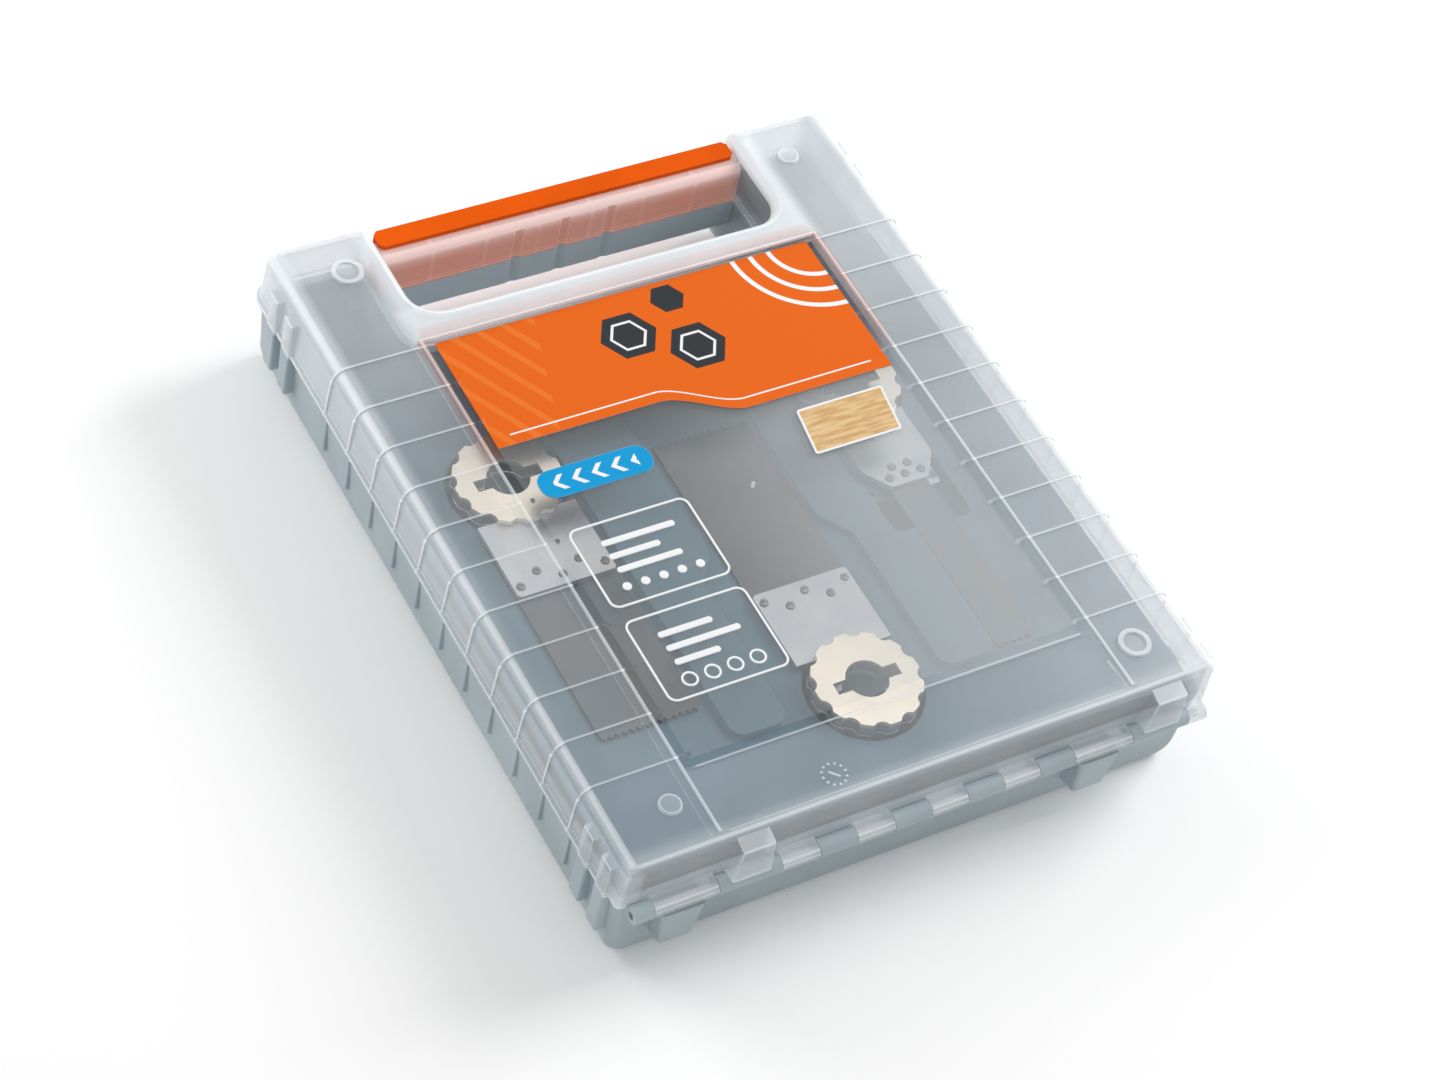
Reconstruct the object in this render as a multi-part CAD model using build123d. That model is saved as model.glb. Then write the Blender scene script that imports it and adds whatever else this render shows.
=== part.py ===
"""Saw blade storage case: a hinged two-shell plastic case with a carrying handle and an orange latch clip.

Frame: +Z up, lying flat on its base.  X runs along the hinge, Y from the hinge to the handle.
The pieces are modelled with y = 0 on the lid's hinge wall and moved at the end, so that
the origin is the bottom centre of the closed case's bounding box.  Millimetres.
"""
from build123d import *
import math
import os

# ---- case: driving dimensions ------------------------------------------------------------------
CASE_W = 214.0            # across the lid's side walls at the rim
CASE_L = 260.5            # lid's hinge wall to the back of the corner blocks
BASE_H = 30.0             # floor to the parting plane
LID_H = 20.0              # parting plane to the lid's top
WALL = 2.0                # shell walls, base floor and lid top
RIM_GAP = 0.3             # between the two rims when closed
BASE_INSET = 0.8          # base side and back walls stand inside the lid's by this much
HINGE_INSET = 1.8         # base hinge wall behind the lid's hinge wall
LID_DRAFT = 1.6           # each side wall of the lid leans in by this much at the top
BASE_DRAFT = 1.6          # and the base's at the floor
LID_EDGE_R = 4.0          # rounded top edge at the sides and back
LID_HINGE_R = 2.0         # rounded edges of the hinge wall, top and corners
BASE_EDGE_R = 8.0         # rounded bottom edge at the sides and back
BASE_HINGE_R = 3.5        # rounded edges of the hinge wall, bottom and corners
BACK_CORNER_R = 5.5       # plan corners of the blocks
ROOM_R = 3.0              # upright corners of the tray
BEAD_OUT = 0.9            # rim bead proud of the wall
BEAD_H = 1.7
BEAD_START = 6.0          # bead begins this far from the hinge wall
TONGUE_T = 1.2            # upstanding lip of the base inside the lid
TONGUE_H = 1.5
TONGUE_GAP = 0.4          # lip to lid wall
TONGUE_ROOT = 3.0         # the lip's root down the base wall
TONGUE_START = 10.0       # lip begins this far from the hinge wall

# ---- handle ------------------------------------------------------------------------------------
OPEN_W = 137.0            # opening between the corner blocks
BAR_SET_BACK = 5.5        # back of the blocks to the bar's outer face
OPEN_CORNER_R = 10.0
BLOCK_NOSE_R = 2.5        # corner of a block beside the handle bar
GRIP_GAP = 27.3           # finger gap between body and bar
BAR_T = 9.5               # bar depth along Y
LID_BAR_DROP = 4.4        # bar top below the lid's top
BASE_BAR_H = 12.0         # bar in the base, below the parting plane
BAR_GRIP_R = 4.0          # the lid bar's rounded edge above the finger gap
BAR_EDGE_R = 1.2          # its other long edges
BAR_WALL = 1.8
BAR_RIB_T = 1.2           # cross ribs inside the lid's bar
BAR_RIB_PITCH = 20.0
BAR_RIB_COUNT = 6
GROOVE_R = 3.0            # three finger grooves in the bar's inner wall
GROOVE_DEPTH = 1.0
GROOVE_PITCH = 17.6
GROOVE_COUNT = 3

# ---- latch clip --------------------------------------------------------------------------------
CLIP_END_GAP = 1.2        # clip end to block wall
CLIP_GAP = 0.3            # clip to handle bar
CLIP_WEB_T = 2.6
CLIP_TOP_T = 1.6
CLIP_REACH = 4.6          # top flange forward of the bar's outer face
CLIP_CHAMFER = 1.5        # cut end corners of the clip
CLIP_PIVOT_DROP = 3.0     # pivot below the base bar's underside
CLIP_BARREL_R = 2.6
LATCH_PIN_D = 2.5
LATCH_PIN_SEAT = 4.0      # pin end in each block wall's boss
DETENT_R = 0.9            # snap bead on the clip and its groove in the lid's bar
DETENT_OUT = 0.5
DETENT_Z = 38.0

# ---- hinge -------------------------------------------------------------------------------------
HINGE_OUT = 3.0           # axis in front of the lid's hinge wall
KNUCKLE_R = 3.0
KNUCKLE_GAP = 0.25        # between knuckle ends, at each joint half this
KNUCKLE_SET_IN = 3.3      # last knuckle's end inside the lid's side wall
KNUCKLE_LONG = 21.8       # the knuckles beside the feet, and the foot bays
KNUCKLE_END = 6.9
SWING_GAP = 0.3           # knuckle to the other shell
HINGE_PIN_D = 2.5
HINGE_PIN_SINK = 2.0      # pin end below the end of the last knuckle
HINGE_PIN_SPLIT = 0.5     # each pin ends this far from the middle
PIN_GAP = 0.08            # radial, pins in their bores
ARM_T = 3.0               # arm that ties a knuckle to its shell
BAY_ARM_T = 1.8           # thinner arm of the base knuckles under the lid's feet
FOOT_W = 15.0             # at the hinge end of a foot
FOOT_GAP = 0.5            # foot front to the other shell's wall when the lid lies open
FOOT_TAPER = 2.0          # each side of a foot comes in by this much at its far end
FOOT_SLOPE = 1.8          # fall of a foot's end face
LID_FOOT_DROP = 1.8       # lid foot top below the lid's top
BASE_FOOT_TOP = 3.6       # base foot top below the parting plane
BASE_FOOT_BOTTOM = 9.0    # above the floor
FOOT_R = 1.5

# ---- ribs, fins and bumps on the side walls ------------------------------------------------------
RIB_COUNT = 11
RIB_FIRST_Y = 30.8        # rib nearest the hinge
RIB_END_GAP = 14.2        # last rib to the opening
RIB_W = 1.0
RIB_H = 0.5
RIB_NUB_OUT = 1.1         # a rib stands this proud where its arc ends
RIB_RIM_OUT = 0.4         # and at the rim
FIN_W = 1.8               # fins on the base wall under the ribs
FIN_OUT = 0.3             # at the rim; a fin stands upright and the wall leans away from it
FIN_EDGE_R = 0.5
FIN_BOTTOM = 12.5
BUMP_OUT = 1.7            # grip bumps at both ends of each side wall
BUMP_W = 6.0
BUMP_PITCH = 11.2
BUMP_FRONT_Y = 5.4        # hinge-side face of the first bump of the pair near the hinge
BUMP_BACK = 30.9          # the same face of the other pair, from the back of the blocks
BUMP_LID_DROP = 5.0       # bump top below the lid's top
BUMP_R = 0.8

# ---- label pocket in the lid ---------------------------------------------------------------------
POCKET_DEPTH = 1.2
POCKET_FLOOR_T = 1.6
CARD_SIDE = 37.1          # card's edge to the lid's side wall at the rim
CARD_BACK = 13.2          # card's edge to the opening
CARD_T = 0.4
CARD_Y = 30.0             # card's edge on the hinge side
CARD_GAP = 0.3            # card to pocket edge
POCKET_SLOPE = 4.0        # sloped side of the pocket
POCKET_START = 2.6        # pocket begins this far from the hinge wall
TAB_OVER = 0.7            # rib tabs reach over the card's edge
TAB_GAP = 0.1             # tab to card
RAIL_W = 1.0
RAIL_H = 0.5
STOP_Y = 26.2             # ridge below the card
STOP_W = 1.0

# ---- stacking rings and discs --------------------------------------------------------------------
STACK_IN = 15.2           # ring's middle to the opening's side wall
STACK_FRONT_Y = 16.6
STACK_BACK = 18.5         # ring's middle to the back of the blocks
RING_D = 10.8
RING_BORE = 7.6
DISC_D = 7.2
STACK_H = 0.8
SOCKET_GAP = 0.5          # base sockets around the rings and discs of the case below

# ---- blade tray ----------------------------------------------------------------------------------
TRAY_Z = 36.0             # face that the upper blades lie on, above the case's underside
TRAY_WALL = 1.6
TRAY_TOP_T = 2.0
TRAY_SIDE = 9.8           # skirt inside the base's side walls, clear of the bottom rounding
TRAY_FLANGE_GAP = 2.0     # top flange to the lid's inner wall
TRAY_ENDS = (11.0, 11.0)  # skirt to the hinge wall and to the opening wall
ISLAND_H = 2.0            # raised islands between the blades
ISLAND_R = 5.0
ISLAND_FRONT_Y = 37.5
ISLAND_BACK = 30.2        # island's end to the opening
ISLAND_STEP = 10.0        # an island's side moves over within this length
ISLAND_MID_STEP_Y = 95.0  # step beside the middle blade, and beside the outer blades
ISLAND_SIDE_STEP_Y = 103.0
ISLANDS = {               # sides by the middle blade, low and high; by the outer blade, from the wall
    1: (28.2, 20.5, 58.2, 67.8),
    -1: (27.6, 19.8, 59.5, 59.5),
}
WELL_GAP = 1.5            # lower blade to its well

# ---- blades --------------------------------------------------------------------------------------
PLATE_T = 1.0
TONGUE_PLATE_T = 2.0      # mount's flat tongue welded on the plate
TONGUE_REACH = 43.0       # tongue end from the mount's centre
TONGUE_MIN_W = 27.0       # a tongue is as wide as its plate, and at least this
TONGUE_TAPER = 9.0        # it narrows to a slim plate within this length
TONGUE_R = 1.5
PLATE_START = 21.0        # plate begins this far from the mount's centre
STAR_R = 18.0
STAR_POINTS = 12
STAR_SCALLOP_R = 3.2
STAR_H = 4.5              # flange top above the plate's upper face
STAR_T = 2.0
STAR_BORE = 14.0
STAR_SLOT = (23.0, 4.4)
CUP_R = 13.5
WELD_D = 3.4
WELD_DEPTH = 0.4
WELD_ROWS = ((3.8, (-1.0, 0.0, 1.0)), (7.7, (-0.5, 0.5)))   # from the tongue's end; places across the span
WELD_SPAN = 0.43          # outer weld from the middle, of the tongue's width
TOOTH_PITCH = 2.4
TOOTH_H = 1.4
STACK_PITCH = PLATE_T + STAR_H      # a lower blade lies this far under an upper one
MIDDLE_X = 0.8            # mount of the middle column of blades, and its place from the hinge wall
MIDDLE_Y = 40.5
LEFT_SIDE = 38.5          # mount of the left column to the lid's side wall, and to the opening
LEFT_BACK = 66.4
RIGHT_SIDE = 50.5
RIGHT_BACK = 68.7
BLADES = {                # column, width, reach, level (1 is the lower one)
    "wood_wide": ("middle", 34.6, 110.0, 0),
    "wood_medium": ("middle", 24.0, 84.0, 1),
    "metal_wide": ("left", 34.6, 100.0, 0),
    "metal_medium": ("left", 20.0, 80.0, 1),
    "metal_narrow": ("right", 14.0, 111.0, 0),
    "plunge_short": ("right", 27.0, 58.0, 1),
}

# ---- derived places ------------------------------------------------------------------------------
HALF = CASE_W / 2
BASE_HALF = HALF - BASE_INSET
TOP = BASE_H + LID_H
LID_RIM = BASE_H + RIM_GAP / 2
BASE_RIM = BASE_H - RIM_GAP / 2
OPEN_HALF = OPEN_W / 2
BAR_Y1 = CASE_L - BAR_SET_BACK
BAR_Y0 = BAR_Y1 - BAR_T
OPEN_Y = BAR_Y0 - GRIP_GAP                          # case body ends here, opening begins
LID_BAR_TOP = TOP - LID_BAR_DROP
BASE_BAR_BOTTOM = BASE_H - BASE_BAR_H
CLIP_PIVOT_Z = BASE_BAR_BOTTOM - CLIP_PIVOT_DROP
PIVOT_Y = BAR_Y1 + CLIP_GAP + CLIP_WEB_T / 2
AXIS_Y = -HINGE_OUT
FRONT_Y = AXIS_Y - KNUCKLE_R
KNUCKLE_MID = (HALF - KNUCKLE_SET_IN - KNUCKLE_END - 2 * KNUCKLE_LONG) / 4   # four each side of the middle
FOOT_INNER_X = 4 * KNUCKLE_MID + KNUCKLE_LONG / 2   # feet stand in the middle of the long knuckles' bays
FOOT_OUTER_X = FOOT_INNER_X + KNUCKLE_LONG
CARD_HALF = HALF - CARD_SIDE
CARD_END = OPEN_Y - CARD_BACK
POCKET_HALF = CARD_HALF + CARD_GAP
RAIL_X = POCKET_HALF + POCKET_SLOPE
POCKET_Z = TOP - POCKET_DEPTH
POCKET_END = CARD_END + CARD_GAP
RAIL_END = POCKET_END + POCKET_SLOPE / 2
RIB_PITCH = (OPEN_Y - RIB_END_GAP - RIB_FIRST_Y) / (RIB_COUNT - 1)
RIB_YS = [RIB_FIRST_Y + i * RIB_PITCH for i in range(RIB_COUNT)]
ISLAND_Z = TRAY_Z + ISLAND_H
LID_FEET_X = (-FOOT_INNER_X, FOOT_OUTER_X)
STACK_X = OPEN_HALF + STACK_IN
STACK_BACK_Y = CASE_L - STACK_BACK
COLUMNS = {               # x, y of the mounts, and which way the blades point
    "middle": (MIDDLE_X, MIDDLE_Y, 1),
    "left": (LEFT_SIDE - HALF, OPEN_Y - LEFT_BACK, -1),
    "right": (HALF - RIGHT_SIDE, OPEN_Y - RIGHT_BACK, -1),
}
ORIGIN = Location((0, -(FRONT_Y + CASE_L + BEAD_OUT) / 2, 0))
BIG = 400.0


# ---- small helpers -------------------------------------------------------------------------------
def block(x, y, z):
    """A box from three (low, high) pairs."""
    size = [hi - lo for lo, hi in (x, y, z)]
    mid = [(hi + lo) / 2 for lo, hi in (x, y, z)]
    return Pos(*mid) * Box(*size)


def rod(radius, x, y, z):
    """A cylinder along X between the two x values."""
    return Pos((x[0] + x[1]) / 2, y, z) * Rot(0, 90, 0) * Cylinder(radius, x[1] - x[0])


def post(radius, x, y, z):
    """A cylinder along Z between the two z values."""
    return Pos(x, y, (z[0] + z[1]) / 2) * Cylinder(radius, z[1] - z[0])


def prism_x(points, x):
    """A (y, z) outline carried along X between the two x values."""
    face = make_face(Polyline(*[(0, y, z) for y, z in points], close=True))
    return Pos(x[0], 0, 0) * extrude(face, x[1] - x[0], dir=(1, 0, 0))


def prism_y(points, y):
    """An (x, z) outline carried along Y between the two y values."""
    face = make_face(Polyline(*[(px, 0, pz) for px, pz in points], close=True))
    return Pos(0, y[0], 0) * extrude(face, y[1] - y[0], dir=(0, 1, 0))


def both_sides(solid):
    """The solid and its mirror image across the case's middle."""
    return [solid, mirror(solid, Plane.YZ)]


def near(value, target):
    return abs(value - target) < 0.01


# ---- shells: outline and body ----------------------------------------------------------------------
def footprint(half, front, back, grow=0.0, corner_r=0.0):
    """Plan outline of a shell: body and two corner blocks; grow moves the opening's walls."""
    plate = Pos(0, (front + back) / 2) * Rectangle(2 * half, back - front)
    gap_half = OPEN_HALF - grow
    gap_front = OPEN_Y + grow
    gap = Pos(0, (gap_front + back + 10) / 2) * Rectangle(2 * gap_half, back + 10 - gap_front)
    shape = plate - gap
    outer = [v for v in shape.vertices() if near(abs(v.X), half) and near(v.Y, back)]
    if corner_r:
        shape = fillet(outer, corner_r)
    nose = [v for v in shape.vertices() if near(abs(v.X), gap_half) and near(v.Y, back)]
    shape = fillet(nose, BLOCK_NOSE_R)
    inner = [v for v in shape.vertices() if near(v.Y, gap_front)]
    return fillet(inner, OPEN_CORNER_R - grow)


def flat_edges(solid, z):
    """Edges that lie at one height."""
    return [e for e in solid.edges() if near(e.center().Z, z) and near(e.bounding_box().size.Z, 0)]


def wall_x(half, draft, z, rim_z, face_z):
    """Where a side wall stands at height z: at half by the rim, and in by the draft at the broad face."""
    return half - draft * (z - rim_z) / (face_z - rim_z)


def shell_body(outline, z, draft, corner_r, edge_r, hinge_r):
    """Solid between z[0], its broad face, and z[1], with leaning side walls and rounded edges.

    The draft is how far each side wall leans in from z[1] to z[0].
    """
    box = outline.bounding_box()
    front, back, half, edge_z = box.min.Y, box.max.Y, box.max.X, z[0]
    body = Pos(0, 0, min(z)) * extrude(outline, abs(z[1] - z[0]))
    if draft:
        leaning = [(draft - half, z[0]), (half - draft, z[0]), (half, z[1]), (-half, z[1])]
        body &= prism_y(leaning, (front - 1, back + 1))
    corners = [e for e in body.edges() if near(e.center().Y, back) and abs(e.center().X) > half - draft - 1
               and e.bounding_box().size.Z > 1]
    body = fillet(corners, corner_r)
    hinge_edge = [e for e in flat_edges(body, edge_z) if near(e.center().Y, front)]
    body = fillet([e for e in flat_edges(body, edge_z) if e not in hinge_edge], edge_r)
    if hinge_r:
        body = fillet([e for e in flat_edges(body, edge_z) if near(e.center().Y, front)], hinge_r)
    return body


def hollow_shell(half, front, back, z, draft, edge_r, hinge_r):
    """Outside and inside of a shell between z[0], its broad face, and z[1], its rim."""
    up = math.copysign(1, z[1] - z[0])
    inside = (z[0] + up * WALL, z[1] + up)
    lean = draft / abs(z[1] - z[0])
    outer = shell_body(footprint(half, front, back), z, draft, BACK_CORNER_R, edge_r, hinge_r)
    outline = footprint(half - WALL + lean, front + WALL, back - WALL, -WALL)
    room = shell_body(outline, inside, lean * abs(inside[1] - inside[0]), BACK_CORNER_R - WALL,
                      edge_r - WALL, hinge_r - WALL)
    return outer, room


def rim_bead(half, front, back, z0, z1):
    """Thin bead round a shell's rim, left off at the hinge wall."""
    ring = footprint(half + BEAD_OUT, front, back + BEAD_OUT, BEAD_OUT, BACK_CORNER_R + BEAD_OUT)
    ring -= footprint(half - WALL / 2, front - 1, back - WALL / 2, -WALL / 2, BACK_CORNER_R - WALL / 2)
    bead = Pos(0, 0, z0) * extrude(ring, z1 - z0)
    return bead & block((-BIG, BIG), (front + BEAD_START, BIG), (z0, z1))


# ---- hinge ---------------------------------------------------------------------------------------
def knuckle_spans():
    """(owner, x0, x1) from left to right, lid and base by turns."""
    spans = []
    for side in (-1, 1):
        edges = [i * KNUCKLE_MID for i in range(5)]
        edges += [edges[-1] + KNUCKLE_LONG, edges[-1] + 2 * KNUCKLE_LONG]
        edges += [edges[-1] + KNUCKLE_END]
        for i, (near_x, far_x) in enumerate(zip(edges, edges[1:])):
            first = "lid" if side > 0 else "base"
            second = "base" if side > 0 else "lid"
            owner = first if i % 2 == 0 else second
            spans.append((owner, *sorted((side * near_x, side * far_x))))
    return sorted(spans, key=lambda span: span[1])


def knuckles(owner):
    """The knuckles of one shell with the arms that tie them to its hinge wall."""
    wall_y = WALL / 2 if owner == "lid" else HINGE_INSET + WALL / 2
    parts = []
    for who, x0, x1 in knuckle_spans():
        if who == owner:
            x = (x0 + KNUCKLE_GAP / 2, x1 - KNUCKLE_GAP / 2)
            under_foot = owner == "base" and any(x0 < foot < x1 for foot in LID_FEET_X)
            drop = BAY_ARM_T if under_foot else ARM_T
            z = (LID_RIM, BASE_H + ARM_T) if owner == "lid" else (BASE_H - drop, BASE_RIM)
            parts += [rod(KNUCKLE_R, x, AXIS_Y, BASE_H), block(x, (AXIS_Y, wall_y), z)]
    return parts


def knuckle_room(owner):
    """Room that one shell leaves round the other shell's knuckles."""
    other = "base" if owner == "lid" else "lid"
    return [rod(KNUCKLE_R + SWING_GAP, (x0 - KNUCKLE_GAP / 2, x1 + KNUCKLE_GAP / 2), AXIS_Y, BASE_H)
            for who, x0, x1 in knuckle_spans() if who == other]


def hinge_bore():
    return rod(HINGE_PIN_D / 2 + PIN_GAP, (-BIG, BIG), AXIS_Y, BASE_H)


def foot_front(owner):
    """Front face of a foot: level with the knuckles, less the gap to the other shell laid open."""
    other_wall = HINGE_INSET if owner == "lid" else 0.0
    return max(2 * AXIS_Y - other_wall + FOOT_GAP, FRONT_Y + FOOT_GAP)


def foot(x, z_hinge, z_far, front, wall_y):
    """A tapered foot on the hinge wall; its far end is narrower and slopes to the front."""
    half, low = FOOT_W / 2, FOOT_W / 2 - FOOT_TAPER
    fall = math.copysign(FOOT_SLOPE, z_hinge - z_far)
    side = prism_x([(wall_y, z_hinge), (front, z_hinge), (front, z_far + fall), (wall_y, z_far)],
                   (x - half, x + half))
    face = prism_y([(x - half, z_hinge), (x - low, z_far), (x + low, z_far), (x + half, z_hinge)],
                   (front, wall_y))
    solid = side & face
    outer = [e for e in solid.edges() if e.center().Y < AXIS_Y and abs(e.center().Z - z_hinge) > 1]
    return fillet(outer, FOOT_R)


def lid_feet():
    return [foot(x, LID_RIM, TOP - LID_FOOT_DROP, foot_front("lid"), WALL / 2) for x in LID_FEET_X]


def base_feet():
    wall_y = HINGE_INSET + WALL / 2
    z_hinge, front = BASE_H - BASE_FOOT_TOP, foot_front("base")
    return [foot(-x, z_hinge, BASE_FOOT_BOTTOM, front, wall_y) for x in LID_FEET_X]


# ---- handle bars -----------------------------------------------------------------------------------
def bar(z, grip_r):
    """One shell's half of the handle bar, ending inside the corner blocks; z[0] is its rounded face."""
    x = OPEN_HALF + WALL / 2
    solid = block((-x, x), (BAR_Y0, BAR_Y1), (min(z), max(z)))
    for y, radius in ((BAR_Y1, BAR_EDGE_R), (BAR_Y0, grip_r)):
        along = solid.edges().filter_by(Axis.X)
        solid = fillet([e for e in along if near(e.center().Z, z[0]) and near(e.center().Y, y)], radius)
    return solid


def bar_room(z0, z1):
    """Hollow of a bar."""
    y = (BAR_Y0 + BAR_WALL + GROOVE_DEPTH, BAR_Y1 - BAR_WALL)
    return block((-OPEN_HALF, OPEN_HALF), y, (z0, z1))


def finger_grooves(z0, z1):
    """Upright round grooves in the bar's inner wall, about the middle."""
    xs = [(i - (GROOVE_COUNT - 1) / 2) * GROOVE_PITCH for i in range(GROOVE_COUNT)]
    return [post(GROOVE_R, x, BAR_Y0 + GROOVE_DEPTH - GROOVE_R, (z0, z1)) for x in xs]


def bar_ribs(z0, z1):
    xs = [(i - (BAR_RIB_COUNT - 1) / 2) * BAR_RIB_PITCH for i in range(BAR_RIB_COUNT)]
    y = (BAR_Y0 + BAR_WALL + GROOVE_DEPTH / 2, BAR_Y1 - BAR_WALL / 2)
    return [block((x - BAR_RIB_T / 2, x + BAR_RIB_T / 2), y, (z0, z1)) for x in xs]


def detent(radius):
    """The clip's snap bead, or its groove when the radius is larger."""
    y = BAR_Y1 + CLIP_GAP - DETENT_OUT + DETENT_R
    return rod(radius, (-OPEN_HALF / 2, OPEN_HALF / 2), y, DETENT_Z)


# ---- lid -------------------------------------------------------------------------------------------
def lid_rib(y):
    """A raised line over the lid's top strip and down its wall, with a tab over the card."""
    top, arc_z = TOP + RIB_H, TOP - LID_EDGE_R
    wall = wall_x(HALF, LID_DRAFT, arc_z, LID_RIM, TOP)
    arc_x = wall - LID_EDGE_R
    tab_x = CARD_HALF - TAB_OVER if y > CARD_Y else RAIL_X - RAIL_W
    under = POCKET_Z + CARD_T + TAB_GAP
    r = LID_EDGE_R + RIB_H
    mid = WALL / 2
    line = Polyline((tab_x, 0, under), (tab_x, 0, top), (arc_x, 0, top))
    line += ThreePointArc((arc_x, 0, top), (arc_x + r * math.sqrt(0.5), 0, arc_z + r * math.sqrt(0.5)),
                          (arc_x + r, 0, arc_z))
    line += Polyline((arc_x + r, 0, arc_z), (wall + RIB_NUB_OUT, 0, arc_z - RIB_NUB_OUT / 2),
                     (HALF + RIB_RIM_OUT, 0, LID_RIM), (HALF - mid, 0, LID_RIM), (wall - mid, 0, arc_z),
                     (arc_x, 0, TOP - mid), (RAIL_X, 0, TOP - mid), (RAIL_X, 0, under), (tab_x, 0, under))
    rib = Pos(0, y - RIB_W / 2, 0) * extrude(make_face(line), RIB_W, dir=(0, 1, 0))
    return both_sides(rib)


def label_pocket():
    """Shallow recess for the card, with sloped sides."""
    outline = [(-POCKET_HALF, POCKET_Z), (POCKET_HALF, POCKET_Z), (RAIL_X, TOP + 1), (-RAIL_X, TOP + 1)]
    return prism_y(outline, (POCKET_START, POCKET_END))


def pocket_floor():
    """The lid's skin under the pocket, a little lower than under the side strips."""
    x = RAIL_X + WALL
    return block((-x, x), (WALL / 2, POCKET_END + WALL), (POCKET_Z - POCKET_FLOOR_T, TOP - WALL / 2))


def pocket_rails():
    """Raised lines beside and above the pocket, and the ridge that the card stands on."""
    z = (TOP - WALL / 2, TOP + RAIL_H)
    rail = block((RAIL_X - RAIL_W / 2, RAIL_X + RAIL_W / 2), (POCKET_START, RAIL_END), z)
    head = block((-RAIL_X - RAIL_W / 2, RAIL_X + RAIL_W / 2), (RAIL_END - RAIL_W, RAIL_END), z)
    stop = block((-POCKET_HALF - 1, POCKET_HALF + 1), (STOP_Y - STOP_W / 2, STOP_Y + STOP_W / 2),
                 (POCKET_Z - POCKET_FLOOR_T / 2, POCKET_Z + POCKET_DEPTH / 2))
    return both_sides(rail) + [head, stop]


def stack_marks():
    """Two rings and two discs that key into the case stacked above."""
    z = (TOP - WALL / 2, TOP + STACK_H)
    marks = []
    for x, y in ((-STACK_X, STACK_BACK_Y), (STACK_X, STACK_FRONT_Y)):
        marks.append(post(RING_D / 2, x, y, z) - post(RING_BORE / 2, x, y, (TOP, TOP + 2 * STACK_H)))
    for x, y in ((-STACK_X, STACK_FRONT_Y), (STACK_X, STACK_BACK_Y)):
        marks.append(post(DISC_D / 2, x, y, z))
    return marks


def bumps(wall_half, z0, z1):
    """Grip bumps near both ends of the side walls."""
    solids = []
    for first in (BUMP_FRONT_Y, CASE_L - BUMP_BACK):
        for i in range(2):
            y = first + i * BUMP_PITCH
            bump = block((wall_half - WALL, HALF + BUMP_OUT), (y, y + BUMP_W), (z0, z1))
            outer = [e for e in bump.edges() if near(e.center().X, HALF + BUMP_OUT)]
            solids += both_sides(fillet(outer, BUMP_R))
    return solids


def lid_shell():
    body, room = hollow_shell(HALF, 0.0, CASE_L, (TOP, LID_RIM), LID_DRAFT, LID_EDGE_R, LID_HINGE_R)
    body += bar((LID_BAR_TOP, LID_RIM), BAR_GRIP_R)
    body += rim_bead(HALF, 0.0, CASE_L, LID_RIM, LID_RIM + BEAD_H)
    body += bumps(HALF - LID_DRAFT, LID_RIM, TOP - BUMP_LID_DROP)
    body -= room
    body += pocket_floor()
    body -= bar_room(LID_RIM - 1, LID_BAR_TOP - BAR_WALL)
    body -= [label_pocket(), *finger_grooves(LID_RIM - 1, LID_BAR_TOP - BAR_GRIP_R / 2)]
    body += bar_ribs(LID_RIM + WALL, LID_BAR_TOP - BAR_WALL / 2)
    body += [rib for y in RIB_YS for rib in lid_rib(y)]
    body += pocket_rails() + stack_marks() + lid_feet() + knuckles("lid")
    body -= knuckle_room("lid") + [hinge_bore(), detent(DETENT_R + CLIP_GAP)]
    return body


# ---- base ------------------------------------------------------------------------------------------
def base_fins():
    """Short upright fins on the base's side walls, one under each lid rib."""
    fins = []
    for y in RIB_YS:
        out = BASE_HALF + FIN_OUT
        fin = block((BASE_HALF - WALL, out), (y - FIN_W / 2, y + FIN_W / 2), (FIN_BOTTOM, BASE_RIM))
        outer = [e for e in fin.edges() if near(e.center().X, out) and e.center().Z < BASE_RIM]
        fins += both_sides(fillet(outer, FIN_EDGE_R))
    return fins


def base_lip():
    """Upstanding lip that locates the lid's walls from inside."""
    x = HALF - WALL - TONGUE_GAP
    y1 = OPEN_Y - WALL - TONGUE_GAP
    z = (BASE_RIM - TONGUE_ROOT, BASE_RIM + TONGUE_H)
    root = block((WALL / 2 - BASE_HALF, BASE_HALF - WALL / 2), (TONGUE_START, OPEN_Y - WALL / 2),
                 (z[0], BASE_RIM - TONGUE_T))
    ring = root + block((-x, x), (TONGUE_START, y1), z)
    ring -= block((TONGUE_T - x, x - TONGUE_T), (TONGUE_START - 1, y1 - TONGUE_T), (z[0] - 1, z[1] + 1))
    gap = block((OPEN_HALF - OPEN_CORNER_R, x - TONGUE_T), (TONGUE_START, BIG), (z[0] - 1, z[1] + 1))
    return ring - both_sides(gap)


def stack_sockets():
    """Shallow sockets under the base for the rings and discs of the case below."""
    depth = STACK_H + SOCKET_GAP / 2
    return [post(RING_D / 2 + SOCKET_GAP, sx * STACK_X, y, (-1, depth))
            for sx in (-1, 1) for y in (STACK_FRONT_Y, STACK_BACK_Y)]


def latch_bosses():
    """Bosses inside the blocks that take the ends of the latch pin."""
    x = (OPEN_HALF + WALL / 2, OPEN_HALF + LATCH_PIN_SEAT + WALL / 2)
    return both_sides(rod(CLIP_BARREL_R, x, PIVOT_Y, CLIP_PIVOT_Z))


def latch_pin_holes():
    x = (-OPEN_HALF - LATCH_PIN_SEAT, OPEN_HALF + LATCH_PIN_SEAT)
    return rod(LATCH_PIN_D / 2 + PIN_GAP, x, PIVOT_Y, CLIP_PIVOT_Z)


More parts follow.
